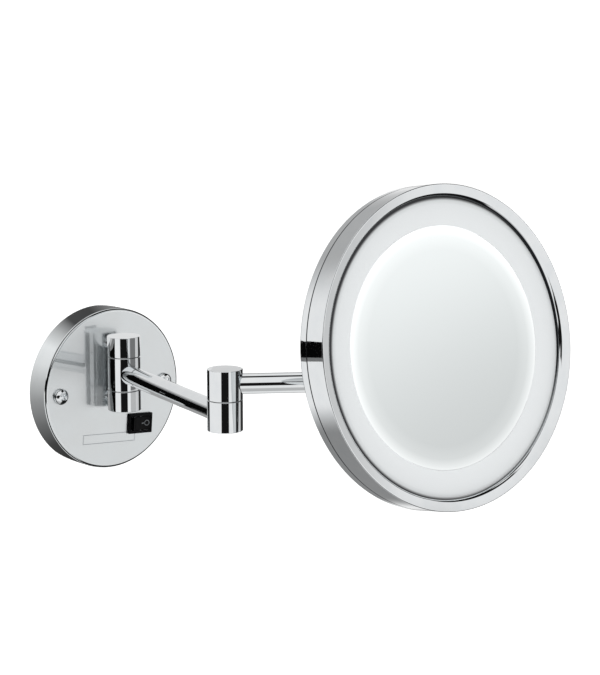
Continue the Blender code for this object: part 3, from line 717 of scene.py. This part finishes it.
def buildFork(look):
    base = Vector((postPlace.x, postPlace.y, 0))
    low, high, radius = measure("swivel_fork", base, up)
    place = makeFrame(base, up, headSide)
    shape = turnOutline([(0, high), (radius, high), (radius, low), (0, low)], 96)
    roundRing(shape, radius, high, look["topEdge"], 6)
    roundRing(shape, radius, low, look["lowEdge"], 4)
    fork = toObject(shape, "swivelFork", place)
    slotTool = block((look["slot"], 2 * look["across"], look["slotDeep"]), look["slotEdge"], 2)
    carve(fork, shift(slotTool, (0, 0, look["floor"] + look["slotDeep"] / 2)), place)
    cross = makeFrame(tiltPlace, headSide, up)
    carve(fork, drum(look["pinHole"], -look["across"], look["across"], toolEdge, 48, 1), cross)
    finishPiece(fork, polishedChrome, "swivel_knuckle", ("swivel_fork",))
    pin = toObject(drum(look["pin"], -look["pinHalf"], look["pinHalf"], look["pinEdge"], 48, 3),
                   "tiltPin", cross)
    finishPiece(pin, screwSteel, "swivel_knuckle", ("tilt_pin",))


def buildLug(look):
    # eye round the tilt pin, its neck, and the flange that the head is screwed to
    high, radius = measure("tilt_lug", tiltPlace, headAxis)[1:]
    flange = drum(radius, high - look["flange"], high, look["flangeEdge"], 96, 4)
    lug = toObject(flange, "tiltLug", headFrame)
    neckEnd = high - look["neckSunk"]
    neck = block((look["lug"], look["neck"], neckEnd), look["neckEdge"], 3)
    carve(lug, shift(neck, (0, 0, neckEnd / 2)), headFrame, 'UNION')
    cross = makeFrame(tiltPlace, headSide, headAxis)
    eye = drum(look["eye"], -look["lug"] / 2, look["lug"] / 2, look["eyeEdge"], 72, 3)
    carve(lug, eye, cross, 'UNION')
    carve(lug, drum(look["pinHole"], -look["across"], look["across"], toolEdge, 48, 1), cross)
    finishPiece(lug, polishedChrome, "mirror_head", ("tilt_lug",))


buildFork(mountLook)
buildLug(mountLook)


panScrewLook = {"shank": 1.5 * mm, "tip": 0.4 * mm, "tipHigh": 0.5 * mm, "seat": 2.0 * mm,
                "slotLong": 3.4 * mm, "slot": 0.75 * mm, "slotDeep": 1.3 * mm,
                "slotEdge": 0.08 * mm, "dome": [(0.0, 0.9 * mm), (0.35 * mm, 1.5 * mm),
                                                (0.95 * mm, 1.9 * mm)]}


def buildPanScrew(node, turnAngle, look):
    # small cross-recess pan-head screw on the back of the head
    centre = headFrame.inverted() @ boxCentre(node)
    origin = headFrame @ Vector((centre.x, centre.y, 0))
    low, high, radius = measure(node, origin, headAxis)
    seat, shank = low + look["seat"], look["shank"]
    outline = [(0, high), (shank - look["tip"], high), (shank, high - look["tipHigh"]),
               (shank, seat), (radius, seat)]
    outline += [(radius - inset, seat - drop) for inset, drop in look["dome"]] + [(0, low)]
    place = makeFrame(origin, headAxis, headSide)
    screw = toObject(turnOutline(outline, 48), camel(node), place)
    for quarter in (0, 90):
        tool = block((look["slotLong"], look["slot"], 2 * look["slotDeep"]), look["slotEdge"], 2)
        turn(shift(tool, (0, 0, low)), math.radians(turnAngle + quarter))
        carve(screw, tool, place)
    finishPiece(screw, screwSteel, "mirror_head", (node,))


for number in (1, 2, 3):           # each screw stops at its own angle, in degrees
    buildPanScrew("flange_screw_%d" % number, 20.0 + 33 * number, panScrewLook)
    buildPanScrew("shell_screw_%d" % number, 55.0 + 41 * number, panScrewLook)
print("head mount ready")


headLook = {"bezel": 99.7 * mm, "drop": 2.5 * mm, "wall": 1.4 * mm, "front": 1.8 * mm,
            "rim": 0.9 * mm, "lip": 2.0 * mm, "rearRound": 1.6 * mm, "seamEdge": 0.4 * mm,
            "insideEdge": 0.6 * mm, "glassGap": 0.3 * mm, "glassEdge": 0.25 * mm,
            "bowl": 1200 * mm, "screwHole": 1.7 * mm, "diffuserGap": 0.05 * mm,
            "diffuserEdge": 0.2 * mm,
            "grooves": [(80.0 * mm, 78.2 * mm, 0.5 * mm), (30.0 * mm, 28.4 * mm, 0.4 * mm)],
            "grooveSide": 0.4 * mm}         # a groove is its outer and inner radius and depth


def buildFrontRing(look):
    low, high, radius = measure("front_ring", tiltPlace, headAxis)
    inner, wall = look["bezel"], look["wall"]
    glassFace = measure("mirror_glass", tiltPlace, headAxis)[1]
    inside = high - look["drop"]
    outline = [(radius, high), (radius, low), (radius - wall, low),
               (radius - wall, high - look["front"]), (inner + wall, inside - wall),
               (inner + wall, glassFace + look["glassGap"]),
               (inner, glassFace + look["glassGap"]), (inner, inside)]
    shape = turnOutline(outline, 192, True)
    roundRing(shape, radius, high, look["rim"], 5)
    roundRing(shape, inner, inside, look["lip"], 5)
    roundRing(shape, radius, low, look["seamEdge"], 3)
    ring = toObject(shape, "frontRing", headFrame)
    finishPiece(ring, ringPaintedShadeChrome, "mirror_head", ("front_ring",), angle=40)


def buildRearShell(look):
    low, high, radius = measure("rear_shell", tiltPlace, headAxis)
    wall = look["wall"]
    outline = [(0, low + wall), (radius - wall, low + wall), (radius - wall, high),
               (radius, high), (radius, low)]
    for outer, inner, depth in look["grooves"]:
        side = look["grooveSide"]
        outline += [(outer, low), (outer - side, low + depth), (inner + side, low + depth),
                    (inner, low)]
    shape = turnOutline(outline + [(0, low)], 192)
    roundRing(shape, radius, low, look["rearRound"], 6)
    roundRing(shape, radius, high, look["seamEdge"], 3)
    roundRing(shape, radius - wall, low + wall, look["insideEdge"], 2)
    shell = toObject(shape, "rearShell", headFrame)
    for node in [name for name in nodes if name.startswith(("flange_screw", "shell_screw"))]:
        centre = headFrame.inverted() @ boxCentre(node)
        hole = drum(look["screwHole"], low - beyond, low + 2 * beyond, toolEdge, 32, 1)
        carve(shell, shift(hole, (centre.x, centre.y, 0)), headFrame)
    finishPiece(shell, shellPaintedShadeChrome, "mirror_head", ("rear_shell",))


def buildGlass(look):
    # magnifying glass: its front is a very shallow bowl
    low, high, radius = measure("mirror_glass", tiltPlace, headAxis)
    depth = radius ** 2 / (2 * look["bowl"])
    outline = [(radius * i / 24, high - depth + (radius * i / 24) ** 2 / (2 * look["bowl"]))
               for i in range(25)]
    outline += [(radius, low), (0, low)]
    shape = turnOutline(outline, 144)
    roundRing(shape, radius, high, look["glassEdge"], 2)
    glass = toObject(shape, "mirrorGlass", headFrame)
    finishPiece(glass, silveredGlass, "mirror_head", ("mirror_glass",), angle=20)


def buildDiffuser(look):
    low, high, radius = measure("light_diffuser", tiltPlace, headAxis)
    inner = glassRadius + look["diffuserGap"]
    shape = turnOutline([(inner, high), (radius, high), (radius, low), (inner, low)], 144, True)
    roundRing(shape, inner, high, look["diffuserEdge"], 3)
    ring = toObject(shape, "lightDiffuser", headFrame)
    finishPiece(ring, frostedAcrylic, "mirror_head", ("light_diffuser",))


# line is the colour of the painted shade lines in the seam, under the lip and along the rim
headChromeShadeLook = dict(chromeLook, seamShadeHalf=0.5 * mm, seamShadeSoft=0.15 * mm, lipShadeWidth=0.5 * mm,
                      lipShadeSoft=0.25 * mm, lipShadeShift=(-0.42 * mm, 0.42 * mm, 0),
                      rimShadeLine=0.62 * mm, rimSoft=0.1 * mm, line="#202225")
ringLow, ringTop, ringRadius = measure("front_ring", tiltPlace, headAxis)
seamHeight = (ringLow + measure("rear_shell", tiltPlace, headAxis)[1]) / 2
ringPaintedShadeChrome = makeHeadChromeWithPaintedShade("polished chrome front ring with painted shade lines", headChromeShadeLook, headLook["bezel"],
                            seamHeight, ringRadius + ringTop)
# the shell has neither lip nor rim, so the painted lip shade and rim shade line both stand out of
# its reach
shellPaintedShadeChrome = makeHeadChromeWithPaintedShade("polished chrome rear shell", headChromeShadeLook, -1.0, seamHeight, 1.0)
glassRadius = measure("mirror_glass", tiltPlace, headAxis)[2]
silveredGlass = makeMirror("silvered float glass", glassLook, glassRadius)
frostedAcrylic = makeFrost("frosted opal acrylic", frostLook)
buildFrontRing(headLook)
buildRearShell(headLook)
buildGlass(headLook)
buildDiffuser(headLook)
print("mirror head ready")


switchLook = {"long": 21.0 * mm, "high": 15.0 * mm, "lip": 2.0 * mm, "corner": 0.7 * mm,
              "gap": 0.1 * mm, "body": (18.8 * mm, 12.6 * mm, 13.6 * mm), "bodyEdge": 0.3 * mm,
              "bodySunk": 6.2 * mm, "pocket": (17.8 * mm, 10.6 * mm, 12.0 * mm),
              "pocketEdge": 0.5 * mm, "pocketRaised": 0.4 * mm}
rockerLook = {"high": 10.0 * mm, "half": 8.2 * mm, "ridge": 1.5 * mm, "sag": 0.55 * mm,
              "tilt": 8.0, "endLow": -0.8 * mm, "baseHalf": 6.2 * mm, "baseLow": -3.6 * mm,
              "edge": 0.35 * mm}
markLook = {"thick": 0.04 * mm, "lift": 0.03 * mm, "barX": 1.6 * mm, "bar": (2.4 * mm, 0.7 * mm),
            "circleX": 5.3 * mm, "circle": (1.6 * mm, 2.1 * mm)}
switchPlace = jointPlace("switch_rock")
switchAxis = Vector(joints["switch_rock"]["axis"])
switchFrame = makeFrame(switchPlace, outward, switchAxis.cross(outward))


def buildSwitch(look):
    # snap-in frame with a rocker between its walls
    face = coverFace + switchPlace.y           # plate face seen from the rocker's axis
    lip = block((look["long"], look["high"], look["lip"]), look["corner"], 4)
    shift(lip, (0, 0, face + look["lip"] / 2 + look["gap"]))
    housing = toObject(lip, "switchHousing", switchFrame)
    body = block(look["body"], look["bodyEdge"], 2)
    carve(housing, shift(body, (0, 0, face - look["bodySunk"])), switchFrame, 'UNION')
    pocket = block(look["pocket"], look["pocketEdge"], 3)
    carve(housing, shift(pocket, (0, 0, face + look["pocketRaised"])), switchFrame)
    finishPiece(housing, blackNylon, "wall_group", ("switch_housing",))


def rockerHeight(look, x):
    # height of the rocker's hollowed face at this distance from its pivot
    share = abs(x) / look["half"]
    sag = look["sag"] * (1 - (2 * share - 1) ** 2)
    return look["ridge"] + abs(x) * math.tan(math.radians(look["tilt"])) - sag


def buildRocker(look):
    # two hollowed faces that meet in a ridge at the pivot
    half, base = look["half"], look["baseHalf"]
    shape = bmesh.new()
    bottom = [(-half, look["endLow"]), (-base, look["baseLow"]), (base, look["baseLow"]),
              (half, look["endLow"])]
    stations = [half * (1 - i / 8) for i in range(17)]
    top = [(x, rockerHeight(look, x)) for x in stations]
    points = [shape.verts.new((x, -look["high"] / 2, z)) for x, z in bottom + top]
    side = shape.faces.new(points)
    grown = bmesh.ops.extrude_face_region(shape, geom=[side])
    moved = [v for v in grown["geom"] if isinstance(v, bmesh.types.BMVert)]
    bmesh.ops.translate(shape, vec=(0, look["high"], 0), verts=moved)
    bmesh.ops.recalc_face_normals(shape, faces=shape.faces)
    rims = [e for e in shape.edges if abs(e.verts[0].co.y - e.verts[1].co.y) < weld]
    bmesh.ops.bevel(shape, geom=rims, offset=look["edge"], offset_type='OFFSET',
                    affect='EDGES', segments=3, profile=0.5, material=-1, clamp_overlap=True)
    turn(shape, math.radians(look["tilt"]), 'Y')
    rocker = toObject(shape, "switchRocker", switchFrame)
    finishPiece(rocker, blackNylon, "rocker", ("switch_rocker",), angle=40)


def buildMarks(look, rocker):
    # printed line and circle that follow the hollow of the rocker's right half
    bar = block((*look["bar"], look["thick"]))
    (inner, outer), half = look["circle"], look["thick"] / 2
    circle = turnOutline([(inner, half), (outer, half), (outer, -half), (inner, -half)], 40, True)
    for name, shape, x in (("markLine", bar, look["barX"]),
                           ("markCircle", circle, look["circleX"])):
        shift(shape, (x, 0, look["lift"]))
        for vertex in shape.verts:
            vertex.co.z += rockerHeight(rocker, vertex.co.x)
        turn(shape, math.radians(rocker["tilt"]), 'Y')
        piece = toObject(shape, name, switchFrame)
        finishPiece(piece, markInk, "rocker")


buildSwitch(switchLook)
buildRocker(rockerLook)
buildMarks(markLook, rockerLook)
print("switch ready")


# a hole is its place and radius
bracketLook = {"edge": 0.3 * mm, "holes": [
    (-32.0 * mm, -12.0 * mm, 2.6 * mm), (32.0 * mm, -12.0 * mm, 2.6 * mm),
    (0.0, 48.5 * mm, 2.6 * mm), (-24.0 * mm, -26.0 * mm, 6.0 * mm)]}


def buildBracket(look):
    low, high, radius = measure("wall_bracket", Vector((0, 0, 0)), outward)
    bracket = toObject(drum(radius, low, high, look["edge"], 128, 2), "wallBracket", wallFrame)
    for x, z, size in look["holes"]:
        tool = drum(size, low - beyond, high + beyond, toolEdge, 40, 1)
        carve(bracket, shift(tool, (x, z, 0)), wallFrame)
    finishPiece(bracket, zincSteel, "wall_group", ("wall_bracket",))


grommetLook = {"bore": 3.5 * mm, "neck": 5.7 * mm, "flange": 1.5 * mm, "edge": 0.5 * mm,
               "boreEdge": 0.3 * mm}


def buildGrommet(look):
    centre = boxCentre("cable_grommet")
    origin = Vector((centre.x, 0, centre.z))
    low, high, radius = measure("cable_grommet", origin, outward)
    bore, neck, seat = look["bore"], look["neck"], high - look["flange"]
    shape = turnOutline([(bore, high), (radius, high), (radius, seat), (neck, seat), (neck, low),
                         (bore, low)], 48, True)
    roundRing(shape, radius, high, look["edge"], 3)
    roundRing(shape, bore, low, look["boreEdge"], 3)
    finishPiece(toObject(shape, "cableGrommet", makeFrame(origin, outward, right)), blackRubber,
                "wall_group", ("cable_grommet",))


buildBracket(bracketLook)
buildGrommet(grommetLook)
print("back of the plate ready")

# parts that only a dismantled mirror shows keep their frame shape
innerFinish = {"hinge_block": zincSteel, "cover_post_left": zincSteel,
               "cover_post_right": zincSteel, "leg_bolt_upper": screwSteel,
               "leg_bolt_lower": screwSteel, "led_driver": whitePolycarbonate,
               "terminal_block": naturalNylon, "switch_pin": screwSteel,
               "swivel_pin": screwSteel, "inner_arm_lead": leadSheath,
               "outer_arm_lead": leadSheath, "light_tray": whitePolycarbonate,
               "led_board": boardMask, "backing_plate": backingBoard,
               "head_chassis": millAluminium, "mount_plate": zincSteel}
for nodeName, finish in innerFinish.items():
    nodes[nodeName].data.materials.clear()
    nodes[nodeName].data.materials.append(finish)
print("inner pieces ready")


def direction(azimuth, elevation):
    a, e = math.radians(azimuth), math.radians(elevation)
    return Vector((math.sin(a) * math.cos(e), -math.cos(a) * math.cos(e), math.sin(e)))


chromeShare = 0.80             # part of the light that polished chrome gives back


def toLevel(grey):
    # light that shows as this grey (0 to 255) in polished chrome
    return toLight(grey / 255) / chromeShare


# painted studio: patch = azimuth, elevation, half width, half height, softness, grey
skyLook = {"base": 226, "backdrop": 1.05, "patches": {
    "floor in front": (-30, -75, 75, 30, 14, 178),
    "black across the front": (-62, 3, 60, 7, 5, 14),
    "zenith cloth": (0, 90, 400, 12, 7, 34),
    "floor behind": (180, -47, 42, 14, 14, 132),
    "grey drape behind": (180, -10, 23, 12, 5, 104),
    "high drape behind": (166, 27, 34, 16, 26, 166),
    "black beside the lens": (-37, 1, 24, 16.5, 3.5, 20),
    "grey at right": (66, -2, 14, 16, 14, 196),
    "black above right": (66, 50, 44, 17, 8, 22),
    "black below right": (66, -52, 44, 26, 8, 22),
    "dark at far right": (109, -8, 29, 40, 6, 46),
    "bright low band": (36, -3, 18, 5, 8, 262),
    "soft upper band": (36, 15, 18, 8, 12, 198),
    "black behind left": (-166, -3, 11, 11, 3, 8)}}


def paintSky(look):
    world = bpy.data.worlds.new("painted studio")
    bpy.context.scene.world = world
    world.use_nodes = True
    tree = world.node_tree
    place = addNode(tree, "ShaderNodeTexCoord")
    part = addNode(tree, "ShaderNodeSeparateXYZ", {0: place.outputs["Generated"]})
    away = addNode(tree, "ShaderNodeMath", {0: part.outputs["Y"], 1: -1.0}, operation='MULTIPLY')
    turned = addNode(tree, "ShaderNodeMath", {0: part.outputs["X"], 1: away.outputs[0]},
                     operation='ARCTAN2')
    azimuth = addNode(tree, "ShaderNodeMath", {0: turned.outputs[0]}, operation='DEGREES')
    raised = addNode(tree, "ShaderNodeMath", {0: part.outputs["Z"]}, operation='ARCSINE')
    elevation = addNode(tree, "ShaderNodeMath", {0: raised.outputs[0]}, operation='DEGREES')
    shade = toLevel(look["base"])
    for a, e, halfWidth, halfHeight, soft, grey in look["patches"].values():
        masks = []
        for source, middle, half in ((azimuth, a, halfWidth), (elevation, e, halfHeight)):
            offset = addNode(tree, "ShaderNodeMath", {0: source.outputs[0], 1: middle},
                             operation='SUBTRACT')
            wrapped = addNode(tree, "ShaderNodeMath", {0: offset.outputs[0], 1: 180, 2: -180},
                              operation='WRAP')
            gap = addNode(tree, "ShaderNodeMath", {0: wrapped.outputs[0]}, operation='ABSOLUTE')
            masks.append(addNode(tree, "ShaderNodeMapRange",
                                 {"Value": gap.outputs[0], "From Min": half - soft / 2,
                                  "From Max": half + soft / 2, "To Min": 1.0, "To Max": 0.0},
                                 interpolation_type='SMOOTHSTEP'))
        mask = addNode(tree, "ShaderNodeMath", {0: masks[0].outputs[0], 1: masks[1].outputs[0]},
                       operation='MULTIPLY')
        mixed = addNode(tree, "ShaderNodeMix", {0: mask.outputs[0], 2: shade, 3: toLevel(grey)})
        shade = mixed.outputs[0]
    path = addNode(tree, "ShaderNodeLightPath")
    seen = addNode(tree, "ShaderNodeMix", {0: path.outputs["Is Camera Ray"], 2: shade,
                                           3: look["backdrop"]})
    tree.links.new(seen.outputs[0], tree.nodes["Background"].inputs["Color"])


paintSky(skyLook)


def glowMaterial(name, grey):
    # paper that gives an even light, shows as this grey in chrome and vanishes from behind
    material = bpy.data.materials.new(name)
    material.use_nodes = True
    tree = material.node_tree
    tree.nodes.clear()
    level = toLevel(grey)
    light = addNode(tree, "ShaderNodeEmission", {"Color": (level, level, level, 1)})
    side = addNode(tree, "ShaderNodeNewGeometry")
    clear = addNode(tree, "ShaderNodeBsdfTransparent")
    sheet = addNode(tree, "ShaderNodeMixShader", {0: side.outputs["Backfacing"],
                                                  1: light.outputs[0], 2: clear.outputs[0]})
    addNode(tree, "ShaderNodeOutputMaterial", {"Surface": sheet.outputs[0]})
    return material


def hideFromLens(piece):
    piece.visible_camera = False
    piece.visible_diffuse = False
    piece.visible_shadow = False


def stageSheet(name, corners, material):
    # flat card; its lit side is where the corners run anticlockwise
    shape = bmesh.new()
    shape.faces.new([shape.verts.new(corner) for corner in corners])
    sheet = toObject(shape, name, Matrix.Scale(mm, 4))
    sheet.data.materials.append(material)
    hideFromLens(sheet)


def stageRing(name, look):
    # ring of paper behind the plate; a stop is an angle from the top, clockwise, and a grey
    shape = turnOutline([(look["inner"], look["height"]), (look["outer"], look["height"])], 96)
    ring = toObject(shape, name, wallFrame)
    material = bpy.data.materials.new(name + "Paper")
    material.use_nodes = True
    tree = material.node_tree
    tree.nodes.clear()
    place = addNode(tree, "ShaderNodeTexCoord")
    part = addNode(tree, "ShaderNodeSeparateXYZ", {0: place.outputs["Object"]})
    turned = addNode(tree, "ShaderNodeMath", {0: part.outputs["X"], 1: part.outputs["Z"]},
                     operation='ARCTAN2')
    share = addNode(tree, "ShaderNodeMapRange", {"Value": turned.outputs[0],
                                                 "From Min": -math.pi, "From Max": math.pi})
    ramp = addNode(tree, "ShaderNodeValToRGB", {"Fac": share.outputs["Result"]})
    setRamp(ramp, [((angle + 180) / 360, toLevel(grey)) for angle, grey in look["stops"]])
    light = addNode(tree, "ShaderNodeEmission", {"Color": ramp.outputs["Color"]})
    addNode(tree, "ShaderNodeOutputMaterial", {"Surface": light.outputs[0]})
    ring.data.materials.append(material)
    hideFromLens(ring)


plateRingLook = {"height": -12 * mm, "inner": 62 * mm, "outer": 92 * mm, "stops": [
    (-180, 20), (-140, 66), (-120, 108), (-98, 150), (-82, 190), (-66, 226), (-50, 238),
    (-36, 190), (-20, 74), (0, 66), (20, 120), (90, 60), (180, 20)]}
stageRing("plateRing", plateRingLook)

papers = {"black": 6, "dark": 112, "mid": 122, "grey": 150, "soft": 178, "white": 213}
paper = {name: glowMaterial(name + " paper", grey) for name, grey in papers.items()}
sheets = {                            # corners in millimetres, in the frame's own axes
    "armBlackCard": ("black", [(-18, -24.5, 29), (-95, -24.5, 29), (-85, -24.5, -50),
                               (-58, -24.5, -50), (-44, -24.5, -28), (-32, -24.5, -14),
                               (-21, -24.5, 2), (-18, -24.5, 6)]),
    "armMidCard": ("mid", [(-18, -24.5, 29.2), (-18, -24.5, 32), (-95, -24.5, 52),
                           (-95, -24.5, 29.2)]),
    "armSoftCard": ("soft", [(-18, -24.5, 32.2), (-18, -24.5, 36), (-95, -24.5, 80),
                             (-95, -24.5, 52.2)]),
    "armWhiteCard": ("white", [(-18, -24.5, 36.2), (18, -24.5, 22), (120, -24.5, 30),
                               (80, -24.5, 100), (0, -24.5, 118), (-80, -24.5, 100),
                               (-95, -24.5, 80.2)]),
    "armGreyCard": ("grey", [(-40, -24.6, -62), (0, -24.6, -84), (62, -24.6, -66),
                             (12, -24.6, 2), (-10, -24.6, 2)]),
    "hingeDarkCard": ("dark", [(-2, -52, 2), (-2, -52, 42), (8, -52, 42), (8, -52, 2)]),
    "hingeSoftCard": ("soft", [(-2, -52, -15), (-2, -52, 2), (8, -52, 2), (8, -52, -15)]),
    "headBlackStrip": ("black", [(-240, -130, 39), (-140, -70, 39), (-140, -70, 79),
                                 (-240, -130, 79)]),
    "headGreyStrip": ("dark", [(-240, -130, 29), (-140, -70, 29), (-140, -70, 39),
                               (-240, -130, 39)])}
for sheetName, (paperName, corners) in sheets.items():
    stageSheet(sheetName, corners, paper[paperName])


# radius and height above the rim, at the funnel's narrow end and at its wide end
collarLook = {"headCollar": [(108.6 * mm, 0.3 * mm), (126.0 * mm, 17.0 * mm)],
              "plateCollar": [(59.6 * mm, -1.0 * mm), (63.5 * mm, 3.9 * mm)]}


def stageCollar(name, place, rim, material):
    # open funnel of paper round a rim, lit inwards and seen only in the rim's rounded edge
    shape = turnOutline([(radius, rim + rise) for radius, rise in collarLook[name]], 96)
    outwards = [face for face in shape.faces
                if face.normal.dot(face.calc_center_median() * Vector((1, 1, 0))) > 0]
    bmesh.ops.reverse_faces(shape, faces=outwards)
    collar = toObject(shape, name, place)
    collar.data.materials.append(material)
    hideFromLens(collar)


stageCollar("headCollar", headFrame, ringTop, paper["black"])
stageCollar("plateCollar", wallFrame, coverFace, paper["black"])

floorLook = {"colour": "#F4F5F5", "rough": 0.9, "glow": 0.6, "radius": 6.0, "drop": 0.55}


def buildFloor(look):
    # matt white paint that glows a little, so it reads as pale all over with no hard shadow
    material, tree, shader = startMaterial("white studio floor", look["colour"], 0.0,
                                           look["rough"])
    shader.inputs["Emission Color"].default_value = (1, 1, 1, 1)
    shader.inputs["Emission Strength"].default_value = look["glow"]
    shape = bmesh.new()
    bmesh.ops.create_circle(shape, cap_ends=True, segments=96, radius=look["radius"])
    floor = toObject(shape, "studioFloor",
                     Matrix.Translation((0, 0, cadBox[0][2] - look["drop"])))
    floor.data.materials.append(material)
    floor.visible_glossy = False


buildFloor(floorLook)


cameraLook = {"sensor": 36.0, "lens": 149.62, "azimuth": -39.48, "elevation": 10.47,
              "roll": -0.1, "place": (-1.02988, -1.48598, 0.36767), "nearest": 0.05,
              "farthest": 50.0}


def addCamera(look):
    camera = bpy.data.cameras.new("camera")
    camera.sensor_width = look["sensor"]
    camera.sensor_fit = 'HORIZONTAL'
    camera.lens = look["lens"]
    camera.clip_start, camera.clip_end = look["nearest"], look["farthest"]
    holder = bpy.data.objects.new("camera", camera)
    back = direction(look["azimuth"], look["elevation"])
    place = makeFrame(Vector(look["place"]), back, up.cross(back))
    holder.matrix_world = place @ Matrix.Rotation(math.radians(look["roll"]), 4, 'Z')
    bpy.context.scene.collection.objects.link(holder)
    bpy.context.scene.camera = holder


addCamera(cameraLook)
bpy.context.scene.view_settings.view_transform = 'Standard'
print("studio ready")
